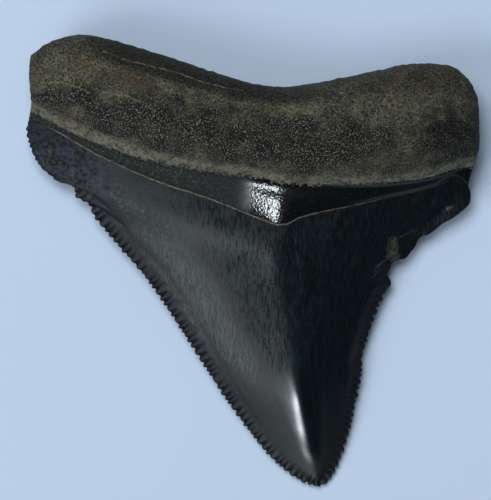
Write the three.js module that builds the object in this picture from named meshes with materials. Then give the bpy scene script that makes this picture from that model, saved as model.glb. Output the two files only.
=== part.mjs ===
// A fossil shark tooth, grown as one piece: a thick two-lobed root, a narrow glossy band below it,
// and a flat triangular crown with beaded cutting edges. It lies on its labial face, lingual face up.
// Millimetres. +Z is up, +Y runs from the tip towards the root, and the origin is on the table
// under the middle of the tooth.
import * as THREE from 'three';
import { mergeVertices } from 'three/addons/utils/BufferGeometryUtils.js';

// Driving sizes
const ROOT_SWELL = 10.6; // height of the root's lingual swell above the table
const NECK_HEIGHT = 0.8 * ROOT_SWELL; // height of the ridge at the lower border of the root
const CROWN_BASE = 6.7; // height of the crown's ridge at the enamel line
const SIDE_HEIGHT = 4.4; // height of the root's side outline above the table
const BEAD_PITCH = 0.78; // one serration of the cutting edge
const BEAD_DEPTH = 0.32; // from the top of a bead to the notch beside it
const BEAD_SPREAD = 0.4; // share by which beads are taller or lower than that
const LIP = 0.2; // the root stands this far above the band
const ENAMEL_STEP = 0.22; // the enamel stands this far above the band
const LABIAL_DIP = 1.6; // how far the labial enamel line sags below its chord

// Levels along the tooth: a row of the surface runs from the left outline to the right one at each.
const BASE = 0; // basal outline of the root
const CREASE = 1; // rounded crease between the basal and lingual faces
const NECK = 2; // lower border of the root
const ENAMEL = 3; // upper border of the enamel
const TIP = 4;

// Lines of the lingual face, from left to right.
const BASAL_LINE = [
  [-24.9, 23.0], [-22.7, 24.5], [-19.2, 25.3], [-15.8, 24.7], [-9.4, 22.8], [-3.6, 20.9], [-0.6, 20.0],
  [2.9, 19.5], [6.1, 19.8], [13.7, 21.3], [17.3, 22.0], [22.2, 21.7], [24.1, 20.2],
];
const CREASE_LINE = [
  [-25.0, 20.8], [-23.2, 22.9], [-19.5, 23.7], [-14.4, 22.3], [-6.0, 20.0],
  [2.9, 18.8], [11.9, 19.8], [18.6, 20.7], [23.4, 19.6], [25.0, 17.7],
];
const NECK_LINE = [
  [-25.0, 16.8], [-20.1, 14.3], [-13.0, 11.6], [-5.9, 10.2], [0.9, 9.3],
  [3.8, 8.7], [14.6, 8.7], [20.0, 9.4], [23.6, 10.5], [25.0, 10.6],
];
const ENAMEL_LINE = [
  [-25.2, 15.8], [-22.6, 14.8], [-17.3, 11.8], [-10.5, 8.8], [-5.9, 7.3], [-0.5, 5.2], [1.3, 4.5],
  [2.5, 4.1], [3.7, 4.1], [4.6, 4.6], [5.6, 5.0], [11.9, 6.4], [20.0, 8.3], [22.9, 9.4], [24.0, 8.5],
];

// Sides of the root, from the basal outline down to the neck.
const LEFT_SIDE = [[-24.9, 23.0], [-25.1, 21.1], [-25.0, 18.9], [-24.9, 17.6], [-25.0, 16.8]];
const RIGHT_SIDE = [[24.1, 20.2], [24.8, 18.8], [25.1, 17.4], [25.2, 14.9], [25.2, 12.6], [24.6, 10.6]];

// Cutting edges, from the enamel line down to the tip, with the nicks of the left shoulder
// and the broken step of the right one.
const LEFT_EDGE = [
  [-25.2, 15.8], [-25.4, 14.6], [-24.6, 11.8], [-23.7, 10.4], [-22.6, 9.5], [-21.9, 8.9], [-20.9, 9.0],
  [-20.1, 8.2], [-19.9, 7.3], [-18.3, 6.3], [-18.1, 5.5], [-16.1, 2.9], [-11.7, -2.3], [-7.5, -8.6],
  [-2.9, -15.7], [1.6, -21.6], [3.4, -23.3], [5.4, -24.7], [7.2, -25.3],
];
const RIGHT_EDGE = [
  [24.0, 8.5], [24.3, 7.6], [24.2, 6.5], [23.6, 5.8], [22.3, 4.8], [21.2, 4.2], [20.1, 3.3], [19.4, 2.9],
  [18.9, 2.8], [18.4, 2.3], [18.1, 1.6], [17.7, 1.1], [17.0, 0.3], [16.0, 0.1], [15.5, -0.3], [15.3, -0.9],
  [15.0, -1.5], [15.4, -2.3], [15.3, -2.8], [14.9, -3.2], [14.0, -4.9], [13.0, -7.7], [12.1, -10.8],
  [12.1, -12.1], [11.4, -15.6], [10.5, -19.6], [9.1, -23.4], [8.2, -24.9], [7.2, -25.3],
];

// The same two edges as they would be unbroken, which the middle of the crown follows.
const LEFT_SWEEP = [
  [-25.2, 15.8], [-22.6, 10.3], [-18.0, 5.0], [-11.4, -2.4], [-2.9, -15.3], [3.0, -22.6], [7.2, -25.3],
];
const RIGHT_SWEEP = [
  [24.0, 8.5], [20.2, 4.2], [16.4, -0.6], [13.6, -7.0], [11.6, -15.0], [9.4, -22.4], [7.2, -25.3],
];
const EDGE_REACH = 0.12; // share of a row over which the nicks and steps of an edge fade inward

// Profiles along the tooth, as pairs of a level and the value there.
const RIDGE_HEIGHT = [
  [BASE, 0.82 * ROOT_SWELL], [CREASE, 0.84 * ROOT_SWELL], [1.4, 0.96 * ROOT_SWELL], [1.7, ROOT_SWELL],
  [NECK, NECK_HEIGHT], [2.5, 0.5 * (NECK_HEIGHT + CROWN_BASE)], [ENAMEL, CROWN_BASE],
  [3.25, 0.883 * CROWN_BASE], [3.5, 0.755 * CROWN_BASE], [3.6, 0.685 * CROWN_BASE],
  [3.7, 0.58 * CROWN_BASE], [3.8, 0.41 * CROWN_BASE], [3.9, 0.225 * CROWN_BASE], [TIP, 0.1 * CROWN_BASE],
];
const OUTLINE_HEIGHT = [
  [BASE, SIDE_HEIGHT], [CREASE, SIDE_HEIGHT], [NECK, 0.7 * SIDE_HEIGHT], [ENAMEL, 0.57 * SIDE_HEIGHT],
  [3.3, 0.42 * SIDE_HEIGHT], [TIP, 0.13 * SIDE_HEIGHT],
];
const FULLNESS = [[BASE, 3.6], [1.5, 3.6], [NECK, 2.1], [ENAMEL, 1.6], [3.2, 1.45], [3.5, 1.7], [TIP, 1.75]];
const EDGE_THINNESS = [[BASE, 0.5], [1.5, 0.5], [NECK, 0.85], [ENAMEL, 1], [3.3, 1.05], [TIP, 1]];
const RIDGE_PLACE = [[BASE, 0.55], [NECK, 0.57], [TIP, 0.57]];
// Below zero the labial face is worn flat by that much: on both lobes and on the crown's belly.
const LABIAL_HEIGHT = [
  [BASE, -0.45], [CREASE, -0.45], [1.6, -0.35], [NECK, 0.1], [2.5, 0.35], [ENAMEL, 0.3], [3.15, 0.1],
  [3.35, -0.12], [3.7, -0.12], [3.88, 0.2], [TIP, 0.5],
];
const ROOT_ROUNDING = 1.35; // levels over which the basal outline rounds up to the lingual face
const LOBE_FALL = 0.2; // share of its height that the root loses from its middle to its lobes
const BASAL_FALL = 1.8; // how far the basal outline dips between the lobes
const LABIAL_HOLLOW = 1.2; // depth of the labial hollow between the lobes
const WAVE_HEIGHT = 0.12; // of the low swells on the root's lingual face

// Rows and columns of the surface
const ROOT_LEVELS = [
  BASE, 0.12, 0.3, 0.55, 0.8, CREASE, 1.15, 1.3, 1.45, 1.6, 1.75, 1.87, 1.94, NECK, 2.2, 2.45, 2.7, 2.9,
  2.975, ENAMEL,
];
const CROWN_ROWS = 46;
const LAST_ROW = 3.97; // the tip's beads close the surface past this level
const COLUMNS = 26;
const BEAD_POINTS = 4; // outline points of one serration

function bend(points) {
  return new THREE.CatmullRomCurve3(points.map(([x, y]) => new THREE.Vector3(x, y, 0)));
}

// Value at a level: a cubic through the pairs, with each slope taken from the neighbours.
function along(pairs, level) {
  const last = pairs.length - 2;
  const i = THREE.MathUtils.clamp(pairs.findIndex(([x]) => x > level) - 1, 0, last);
  const k = level >= pairs[last + 1][0] ? last : i;
  const slope = (a, b) => (pairs[b][1] - pairs[a][1]) / (pairs[b][0] - pairs[a][0]);
  const gap = pairs[k + 1][0] - pairs[k][0];
  const s = (level - pairs[k][0]) / gap;
  const leave = gap * slope(Math.max(k - 1, 0), k + 1);
  const arrive = gap * slope(k, Math.min(k + 2, last + 1));
  const from = pairs[k][1];
  const rise = pairs[k + 1][1] - from;
  return from + s * (leave + s * (3 * rise - 2 * leave - arrive + s * (leave + arrive - 2 * rise)));
}

const lines = [BASAL_LINE, CREASE_LINE, NECK_LINE, ENAMEL_LINE].map(bend);
const sides = {
  left: { root: bend(LEFT_SIDE), edge: bend(LEFT_EDGE), sweep: bend(LEFT_SWEEP) },
  right: { root: bend(RIGHT_SIDE), edge: bend(RIGHT_EDGE), sweep: bend(RIGHT_SWEEP) },
};
const startOf = (curve) => curve.getPointAt(0);
const endOf = (curve) => curve.getPointAt(1);

// Point of the left or right outline at a level, without its beads, or of its unbroken sweep.
function outline(side, level, kind = 'edge') {
  const { root, [kind]: crown } = sides[side];
  if (level <= NECK) return root.getPointAt(level / NECK);
  if (level >= ENAMEL) return crown.getPointAt(Math.min(level - ENAMEL, 1));
  return endOf(root).lerp(startOf(crown), level - NECK);
}

// The labial face has no band: its neck and enamel lines are one shallow sag, a little apart.
function labialLine(level, u) {
  const chord = outline('left', level).lerp(outline('right', level), u);
  const sag = LABIAL_DIP + (level === ENAMEL ? 0.4 : 0);
  chord.y -= sag * Math.sin(Math.PI * u);
  return chord;
}

function line(level, u, face) {
  return face === 'labial' && level >= NECK ? labialLine(level, u) : lines[level].getPointAt(u);
}

// Place in plan of a surface point: rows blend from one line to the next and meet both outlines,
// and the crown's rows straighten as they shorten towards the tip.
function plan(u, level, face) {
  const left = outline('left', level, 'sweep');
  const right = outline('right', level, 'sweep');
  const row = left.clone().lerp(right, u);
  const bow = (at) => line(at, u, face).sub(line(at, 0, face).lerp(line(at, 1, face), u));
  if (level >= ENAMEL) {
    const whole = outline('left', ENAMEL).distanceTo(outline('right', ENAMEL));
    const nearLeft = 1 - THREE.MathUtils.smoothstep(u, 0, EDGE_REACH);
    const nearRight = THREE.MathUtils.smoothstep(u, 1 - EDGE_REACH, 1);
    row.addScaledVector(bow(ENAMEL), (left.distanceTo(right) / whole) ** 2);
    row.addScaledVector(outline('left', level).sub(left), nearLeft);
    return row.addScaledVector(outline('right', level).sub(right), nearRight);
  }
  const above = Math.floor(level);
  return row.add(bow(above).lerp(bow(above + 1), level - above));
}

// Height of the outline's own seam, which both faces share.
function seamHeight(u, level) {
  const dip = BASAL_FALL * Math.sin(Math.PI * u) ** 2 * Math.max(0, 1 - level);
  return along(OUTLINE_HEIGHT, level) - dip;
}

// Share of the full thickness at a point: a superellipse across the row, blunt on the root
// and sharp on the crown, times the rounding of the basal outline.
function fullness(u, level) {
  const ridge = along(RIDGE_PLACE, level);
  const inward = u < ridge ? u / ridge : (1 - u) / (1 - ridge);
  const across = (1 - (1 - inward) ** along(FULLNESS, level)) ** along(EDGE_THINNESS, level);
  const lift = Math.min(level / ROOT_ROUNDING, 1);
  return across * Math.sqrt(1 - (1 - lift) ** 2.4);
}

// Long low swells of the worn root.
function rootWaves(x, y, level) {
  const onRoot = 1 - THREE.MathUtils.smoothstep(level, 1.7, NECK);
  const swells = Math.sin(0.62 * x + 0.5) * Math.cos(0.9 * y + 0.2 * x);
  return WAVE_HEIGHT * onRoot * (swells + 0.6 * Math.sin(1.3 * x - 0.7 * y));
}

function lingual(u, level) {
  const p = plan(u, level, 'lingual');
  const seam = seamHeight(u, level);
  const ridge = along(RIDGE_PLACE, level);
  const onRoot = 1 - THREE.MathUtils.smoothstep(level, NECK, ENAMEL);
  const lobes = 1 - LOBE_FALL * onRoot * (2 * (u - ridge)) ** 2;
  const lip = LIP * (1 - THREE.MathUtils.smoothstep(level, 1.94, NECK));
  const step = ENAMEL_STEP * THREE.MathUtils.smoothstep(level, 2.975, ENAMEL);
  const top = along(RIDGE_HEIGHT, level) * lobes + lip + step + rootWaves(p.x, p.y, level);
  p.z = seam + (top - seam) * fullness(u, level);
  return p;
}

function labial(u, level) {
  const p = plan(u, level, 'labial');
  const seam = seamHeight(u, level);
  const onRoot = 1 - THREE.MathUtils.smoothstep(level, NECK, ENAMEL);
  const hollow = LABIAL_HOLLOW * onRoot * Math.exp(-(((u - 0.53) / 0.16) ** 2));
  const depth = seam - along(LABIAL_HEIGHT, level) - hollow;
  p.z = Math.max(0, seam - depth * fullness(u, level));
  return p;
}

// Beads: rounded bumps with sharp notches between them, as a share of the bead's depth. Their
// heights swing unevenly from one to the next.
function bead(distance) {
  const turns = distance / BEAD_PITCH;
  const size = 1 + BEAD_SPREAD * Math.sin(2.4 * Math.floor(turns));
  return size * (Math.abs(Math.sin(Math.PI * turns)) ** 0.6 - 0.6);
}

// How far the beads stand on each edge: worn on the left shoulder, broken away on the right one.
const beadShare = {
  left: (level) => 0.35 + 0.65 * THREE.MathUtils.smoothstep(level, 3.12, 3.25),
  right: (level) => THREE.MathUtils.smoothstep(level, 3.34, 3.4),
};

// Seam points down one side: a point for each row of the root, then the beads of the crown.
function seamPoints(side) {
  const points = ROOT_LEVELS.slice(1).map((level) => {
    const p = outline(side, level);
    p.z = seamHeight(0, level);
    return { key: level, p };
  });
  const edge = sides[side].edge;
  const length = edge.getLength();
  const count = Math.floor(length / BEAD_PITCH) * BEAD_POINTS;
  const outward = side === 'left' ? -1 : 1;
  for (let i = 1; i < count; i++) {
    const share = i / count;
    const level = ENAMEL + share;
    const forward = edge.getTangentAt(share);
    const push = BEAD_DEPTH * beadShare[side](level) * bead(share * length);
    const p = edge.getPointAt(share);
    p.x -= outward * forward.y * push;
    p.y += outward * forward.x * push;
    p.z = seamHeight(0, level);
    points.push({ key: level, p });
  }
  return points;
}

const tip = endOf(sides.left.edge);
tip.z = seamHeight(0, TIP);
const basalSeam = (u) => Object.assign(plan(u, BASE, 'lingual'), { z: seamHeight(u, BASE) });
const corners = [0, 1].map(basalSeam);
const leftSeam = seamPoints('left');
const rightSeam = seamPoints('right');

const levels = [...ROOT_LEVELS];
for (let i = 1; i <= CROWN_ROWS; i++) levels.push(ENAMEL + ((LAST_ROW - ENAMEL) * i) / CROWN_ROWS);
const across = [];
for (let j = 1; j < COLUMNS; j++) {
  const even = j / COLUMNS;
  across.push(0.35 * even + 0.65 * (0.5 - 0.5 * Math.cos(Math.PI * even)));
}

// Triangles between two strings of points whose keys rise together.
function ribbon(inner, outer, add) {
  let i = 0;
  let j = 0;
  while (i < inner.length - 1 || j < outer.length - 1) {
    const innerNext = i < inner.length - 1 ? inner[i + 1].key : Infinity;
    const outerNext = j < outer.length - 1 ? outer[j + 1].key : Infinity;
    if (innerNext < outerNext) {
      add(inner[i].p, outer[j].p, inner[i + 1].p);
      i++;
    } else {
      add(inner[i].p, outer[j].p, outer[j + 1].p);
      j++;
    }
  }
}

// One face of the tooth: a grid of rows and columns, and a ribbon from it to the seam all round.
function faceTriangles(surface, flip) {
  const found = [];
  const add = (a, b, c) => found.push(...(flip ? [a, c, b] : [a, b, c]));
  const grid = levels.map((level) => across.map((u) => (level === BASE ? basalSeam(u) : surface(u, level))));
  for (let i = 0; i < grid.length - 1; i++) {
    for (let j = 0; j < across.length - 1; j++) {
      add(grid[i][j], grid[i + 1][j], grid[i + 1][j + 1]);
      add(grid[i][j], grid[i + 1][j + 1], grid[i][j + 1]);
    }
  }
  const lastColumn = across.length - 1;
  const leftColumn = levels.map((level, i) => ({ key: level, p: grid[i][0] }));
  const rightColumn = levels.map((level, i) => ({ key: 2 * TIP - level, p: grid[i][lastColumn] })).reverse();
  const lastRow = across.slice(1, lastColumn).map((u, j) => ({
    key: THREE.MathUtils.lerp(LAST_ROW, 2 * TIP - LAST_ROW, u),
    p: grid[grid.length - 1][j + 1],
  }));
  const inner = [...leftColumn, ...lastRow, ...rightColumn];
  const outer = [
    { key: BASE, p: corners[0] },
    ...leftSeam,
    { key: TIP, p: tip },
    ...rightSeam.map(({ key, p }) => ({ key: 2 * TIP - key, p })).reverse(),
    { key: 2 * TIP, p: corners[1] },
  ];
  ribbon(inner, outer, add);
  return found;
}

function toothGeometry() {
  const points = [...faceTriangles(lingual, false), ...faceTriangles(labial, true)];
  const geometry = mergeVertices(new THREE.BufferGeometry().setFromPoints(points), 1e-4);
  geometry.computeBoundingBox();
  const { min, max } = geometry.boundingBox;
  geometry.translate(-(min.x + max.x) / 2, -(min.y + max.y) / 2, -min.z);
  geometry.computeVertexNormals();
  return geometry;
}

const fossil = new THREE.MeshStandardMaterial({ color: '#2c2b28', roughness: 0.45, metalness: 0 });
const tooth = new THREE.Mesh(toothGeometry(), fossil);
tooth.name = 'tooth';

const root = new THREE.Group();
root.add(tooth);
export default root;
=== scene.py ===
"""A fossil shark tooth lying on a pale table, seen from straight above.

The lingual face is up: a mottled two-lobed root, a dark glossy band below it, and a blue-black
crown with serrated cutting edges. One closed surface takes the place of the plain solid of the
frame. Guide places are in millimetres from a point between root and crown, as in the solid.
"""

import bpy
import numpy as np
from bpy.props import FloatProperty, FloatVectorProperty, PointerProperty
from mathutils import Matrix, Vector


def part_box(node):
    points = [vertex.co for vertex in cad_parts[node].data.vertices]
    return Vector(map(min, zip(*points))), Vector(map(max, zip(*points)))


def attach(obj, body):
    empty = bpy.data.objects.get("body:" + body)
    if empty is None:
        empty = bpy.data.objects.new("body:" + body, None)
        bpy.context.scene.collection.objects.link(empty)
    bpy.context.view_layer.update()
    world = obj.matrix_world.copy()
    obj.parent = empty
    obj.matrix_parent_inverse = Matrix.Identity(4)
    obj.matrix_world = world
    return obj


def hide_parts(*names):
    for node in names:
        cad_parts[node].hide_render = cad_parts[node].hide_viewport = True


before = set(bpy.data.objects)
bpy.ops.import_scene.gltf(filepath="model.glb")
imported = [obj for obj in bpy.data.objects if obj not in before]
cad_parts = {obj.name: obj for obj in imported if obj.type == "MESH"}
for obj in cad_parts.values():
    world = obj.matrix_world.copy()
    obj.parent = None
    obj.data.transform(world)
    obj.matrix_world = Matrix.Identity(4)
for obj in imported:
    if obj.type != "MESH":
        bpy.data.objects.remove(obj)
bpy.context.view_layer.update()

bl_info = {
    "name": "Fossil Tooth",
    "version": (1, 0, 0),
    "blender": (4, 5, 0),
    "location": "View3D > Sidebar > Fossil Tooth",
    "description": "Builds a fossil shark tooth, its material and a small studio",
    "category": "Object",
}

LOW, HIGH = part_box("tooth")
GUIDE_WIDTH = 50.708  # of the tooth, in guide millimetres
MM = (HIGH[0] - LOW[0]) / GUIDE_WIDTH  # metres in one guide millimetre

# Levels along the tooth
BASE, CREASE, NECK, ENAMEL, TIP = range(5)

# Lines of the lingual face, from left to right
BASAL_LINE = [
    (-24.9, 23.0), (-22.7, 24.5), (-19.2, 25.3), (-15.8, 24.7), (-9.4, 22.8), (-3.6, 20.9), (-0.6, 20.0),
    (2.9, 19.5), (6.1, 19.8), (13.7, 21.3), (17.3, 22.0), (22.2, 21.7), (24.1, 20.2),
]
CREASE_LINE = [
    (-25.0, 20.8), (-23.2, 22.9), (-19.5, 23.7), (-14.4, 22.3), (-6.0, 20.0),
    (2.9, 18.8), (11.9, 19.8), (18.6, 20.7), (23.4, 19.6), (25.0, 17.7),
]
NECK_LINE = [
    (-25.0, 16.8), (-20.1, 14.3), (-13.0, 11.6), (-5.9, 10.2), (0.9, 9.3),
    (3.8, 8.7), (14.6, 8.7), (20.0, 9.4), (23.6, 10.5), (25.0, 10.6),
]
ENAMEL_LINE = [
    (-25.2, 15.8), (-22.6, 14.8), (-17.3, 11.8), (-10.5, 8.8), (-5.9, 7.3), (-0.5, 5.2), (1.3, 4.5),
    (2.5, 4.1), (3.7, 4.1), (4.6, 4.6), (5.6, 5.0), (11.9, 6.4), (20.0, 8.3), (22.9, 9.4), (24.0, 8.5),
]

# Sides of the root, cutting edges with their nicks, and the edges as they would be unbroken
LEFT_SIDE = [(-24.9, 23.0), (-25.1, 21.1), (-25.0, 18.9), (-24.9, 17.6), (-25.0, 16.8)]
RIGHT_SIDE = [(24.1, 20.2), (24.8, 18.8), (25.1, 17.4), (25.2, 14.9), (25.2, 12.6), (24.6, 10.6)]
LEFT_EDGE = [
    (-25.2, 15.8), (-25.4, 14.6), (-24.6, 11.8), (-23.7, 10.4), (-22.6, 9.5), (-21.9, 8.9), (-20.9, 9.0),
    (-20.1, 8.2), (-19.9, 7.3), (-18.3, 6.3), (-18.1, 5.5), (-16.1, 2.9), (-11.7, -2.3), (-7.5, -8.6),
    (-2.9, -15.7), (1.6, -21.6), (3.4, -23.3), (5.4, -24.7), (7.2, -25.3),
]
RIGHT_EDGE = [
    (24.0, 8.5), (24.3, 7.6), (24.2, 6.5), (23.6, 5.8), (22.3, 4.8), (21.2, 4.2), (20.1, 3.3),
    (19.4, 2.9), (18.9, 2.8), (18.4, 2.3), (18.1, 1.6), (17.7, 1.1), (17.0, 0.3), (16.0, 0.1),
    (15.5, -0.3), (15.3, -0.9), (15.0, -1.5), (15.4, -2.3), (15.3, -2.8), (14.9, -3.2), (14.0, -4.9),
    (13.0, -7.7), (12.1, -10.8), (12.1, -12.1), (11.4, -15.6), (10.5, -19.6), (9.1, -23.4),
    (8.2, -24.9), (7.2, -25.3),
]
LEFT_SWEEP = [
    (-25.2, 15.8), (-22.6, 10.3), (-18.0, 5.0), (-11.4, -2.4), (-2.9, -15.3), (3.0, -22.6), (7.2, -25.3),
]
RIGHT_SWEEP = [
    (24.0, 8.5), (20.2, 4.2), (16.4, -0.6), (13.6, -7.0), (11.6, -15.0), (9.4, -22.4), (7.2, -25.3),
]
EDGE_REACH = 0.12  # share of a row over which the nicks of an edge fade inward
LABIAL_DIP = (1.6, 2.0)  # sag of the labial neck and enamel lines below their chords

# Cracks and the crease of the left lobe, each a path, and stains, each a place with its width
CRACKS = [
    [(-22.7, 19.6), (-21.6, 19.7), (-20.6, 19.5), (-19.2, 19.0), (-18.1, 18.5)],
    [(-19.2, 19.0), (-18.8, 19.6), (-18.1, 20.8)],
    [(-16.4, 18.5), (-15.2, 18.2), (-14.1, 18.2), (-12.9, 17.6), (-12.2, 17.5), (-10.9, 16.4)],
    [(-16.5, 23.1), (-14.1, 22.1), (-11.6, 21.5), (-8.3, 20.7), (-5.7, 19.7), (-2.9, 19.0), (-1.0, 18.7)],
]
RUST_SPOTS = [
    (-18.9, 21.9, 1.0), (-17.8, 21.2, 0.8), (-13.3, 20.1, 1.3), (-11.7, 19.4, 0.9), (-15.0, 20.9, 0.9),
    (-24.3, 20.4, 0.7), (15.8, 20.2, 0.9), (19.8, 20.0, 0.8), (15.6, 18.2, 0.35), (10.8, 15.5, 0.32),
    (1.2, 15.5, 0.28), (-21.2, 15.7, 0.9),
]
CREAM_SPECKS = [
    (1.2, 15.5, 0.18), (9.7, 18.6, 0.16), (10.9, 18.3, 0.12), (14.4, 16.4, 0.12), (2.3, 14.9, 0.12),
    (3.2, 17.2, 0.1), (-2.4, 16.9, 0.12), (-7.0, 18.2, 0.1), (6.4, 17.6, 0.1),
]
TEAL_SPOTS = [(-0.8, 3.0, 1.6), (0.6, -1.5, 1.8), (3.2, -2.6, 1.5), (2.6, -7.0, 1.6), (4.2, -11.0, 1.2)]
BROKEN_FACES = [
    [(15.5, 2.4), (15.3, 1.3), (15.2, 0.4)], [(15.5, 2.4), (15.9, 1.3), (16.1, 0.5)],
    [(15.6, 1.4), (15.6, 0.2)],
]
SHOULDER_SCRATCHES = [
    [(-20.4, 8.9), (-20.1, 10.4)], [(-18.6, 7.0), (-17.9, 8.3)], [(-22.9, 12.2), (-22.5, 13.0)],
    [(21.4, 5.6), (22.5, 6.2)],
]
HAIRLINES = [
    [(4.6, 3.9), (5.1, 0.1), (5.7, -4.0)], [(-12.2, 6.2), (-10.4, 2.8)], [(-9.1, 4.9), (-7.9, 0.7)],
]
DARK_LOBE = (22.0, 14.6, 3.0)  # the blackened patch of the right lobe

# Rows from the basal outline to the tip, dense where a border steps: levels and number of rows
ROW_STRETCHES = [
    (BASE, CREASE, 14), (CREASE, 1.93, 58), (1.93, 2.05, 12), (2.05, 2.95, 20), (2.95, ENAMEL, 8),
    (ENAMEL, TIP, 428),
]
LINGUAL_COLUMNS = 120
LABIAL_COLUMNS = 60
CURVE_STEPS = 60  # steps of a guide curve between two of its points
SEED = 11
FAR = 9.0  # a distance past every edge and crack that matters

ROUNDING_END, ROUNDING_POWER = 1.35, 2.4  # of the basal outline: the level where it ends, its form

# Form, in guide millimetres
SEAM_DIP = 1.8  # how far the seam dips between the lobes
LABIAL_HOLLOW = 1.2  # depth of the labial face's hollow between the lobes
SWELL_HEIGHT = 0.12  # of the low swells of the root
LUMPS = [(0.07, 3.4, 1), (0.035, 1.3, 2)]  # height, size and seed of the root's lumps
FUZZ_HEIGHT = 0.03  # of the grain on the root's outline
SKIN_HEIGHT = 0.007  # of the crown's hardly visible waves
CRACK_DEPTH, CRACK_WIDTH = 0.05, 0.15
BEAD_REACH = 0.5  # how far inward a serration moves the surface
FLUTE_DEPTH, FLUTE_REACH = 0.22, 0.7  # of the flutes behind the notches
BROKEN_WIDTH, SCRATCH_WIDTH = 0.32, 0.2

# Spread of the serrations' lengths and heights, as shares of the mean
BEAD_LENGTHS = (0.65, 1.35)
BEAD_HEIGHTS = (0.45, 1.55)

# Tints beside the colours of the panel
BLOTCH = (0.070, 0.048, 0.026)
DIM_GRAIN, PALE_GRAIN = (0.140, 0.130, 0.085), (0.360, 0.330, 0.250)
GREEN_BAND, BAND_GRIT = (0.001, 0.003, 0.002), (0.120, 0.125, 0.105)
TEAL = (0.006, 0.022, 0.021)
DEEP_BRUISE, PALE_BRUISE, GREY_BRUISE = (0.0005, 0.001, 0.003), (0.014, 0.015, 0.034), (0.030, 0.034, 0.032)
# The notches' tint is painted shade in the recesses between the serrations.
BEAD_TINT, NOTCH_PAINTED_SHADE = (0.002, 0.003, 0.006), (0.0005, 0.0005, 0.0005)
SCAR, HAIRLINE = (0.090, 0.085, 0.065), (0.060, 0.070, 0.078)
TAN, DARK_TAN = (0.240, 0.185, 0.130), (0.065, 0.044, 0.032)
BROKEN_DARK, BROKEN_PALE = (0.008, 0.007, 0.005), (0.050, 0.046, 0.034)

# Roughness where it is even, and the one specular level of the tooth
ROOT_ROUGH, LEFT_BAND_ROUGH, RIGHT_BAND_ROUGH = 0.9, 0.7, 0.2
POLISHED, NEAR_TIP_ROUGH, PIT_ROUGH, BARE_ROUGH = 0.19, 0.5, 0.6, 0.75
SPECULAR_LEVEL = 0.3

# Depths of the relief that only the shader has, in guide millimetres
PORE_DEPTH, DUST_DEPTH = 0.09, 0.03
SPARKLE_DEPTH, BAND_SCUFF_DEPTH = 0.024, 0.1
SKIN_DEPTH, SCAR_DEPTH = 0.016, 0.12


class FossilToothSizes(bpy.types.PropertyGroup):
    """Sizes of the tooth that a user would change."""

    root_swell: FloatProperty(
        name="Root swell", description="Height of the root's lingual swell above the table",
        default=10.6 * MM, min=0.0, subtype="DISTANCE", unit="LENGTH", precision=5,
    )
    crown_base: FloatProperty(
        name="Crown base", description="Height of the crown's ridge at the enamel line",
        default=6.7 * MM, min=0.0, subtype="DISTANCE", unit="LENGTH", precision=5,
    )
    side_height: FloatProperty(
        name="Side height", description="Height of the root's side outline above the table",
        default=4.4 * MM, min=0.0, subtype="DISTANCE", unit="LENGTH", precision=5,
    )
    bead_pitch: FloatProperty(
        name="Serration pitch", description="Length of one serration of the cutting edge",
        default=0.78 * MM, min=0.0001, subtype="DISTANCE", unit="LENGTH", precision=5,
    )
    bead_depth: FloatProperty(
        name="Serration depth", description="From the top of a serration to the notch beside it",
        default=0.34 * MM, min=0.0, subtype="DISTANCE", unit="LENGTH", precision=5,
    )
    lip: FloatProperty(
        name="Root lip", description="How far the root stands above the band",
        default=0.2 * MM, min=0.0, subtype="DISTANCE", unit="LENGTH", precision=5,
    )
    enamel_step: FloatProperty(
        name="Enamel step", description="How far the enamel stands above the band",
        default=0.22 * MM, min=0.0, subtype="DISTANCE", unit="LENGTH", precision=5,
    )


class FossilToothColours(bpy.types.PropertyGroup):
    """Colours of the fossil and of the table."""

    taupe: FloatVectorProperty(
        name="Root", description="Taupe of the root", default=(0.105, 0.095, 0.062),
        min=0.0, max=1.0, subtype="COLOR",
    )
    soot: FloatVectorProperty(
        name="Pores", description="Purple-black of the root's pores", default=(0.002, 0.001, 0.002),
        min=0.0, max=1.0, subtype="COLOR",
    )
    beige: FloatVectorProperty(
        name="Root border", description="Beige of the root's lower border", default=(0.130, 0.120, 0.082),
        min=0.0, max=1.0, subtype="COLOR",
    )
    rust: FloatVectorProperty(
        name="Rust", description="Iron stain on the lobes", default=(0.100, 0.048, 0.022),
        min=0.0, max=1.0, subtype="COLOR",
    )
    cream: FloatVectorProperty(
        name="Cracks", description="Mineral in the cracks", default=(0.300, 0.250, 0.160),
        min=0.0, max=1.0, subtype="COLOR",
    )
    band: FloatVectorProperty(
        name="Band", description="Navy black of the band below the root", default=(0.001, 0.0015, 0.003),
        min=0.0, max=1.0, subtype="COLOR",
    )
    enamel: FloatVectorProperty(
        name="Enamel", description="Blue-black of the crown", default=(0.0012, 0.0042, 0.0058),
        min=0.0, max=1.0, subtype="COLOR",
    )
    table: FloatVectorProperty(
        name="Table", description="Pale blue of the table", default=(0.70, 0.80, 0.97),
        min=0.0, max=1.0, subtype="COLOR",
    )


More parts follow.
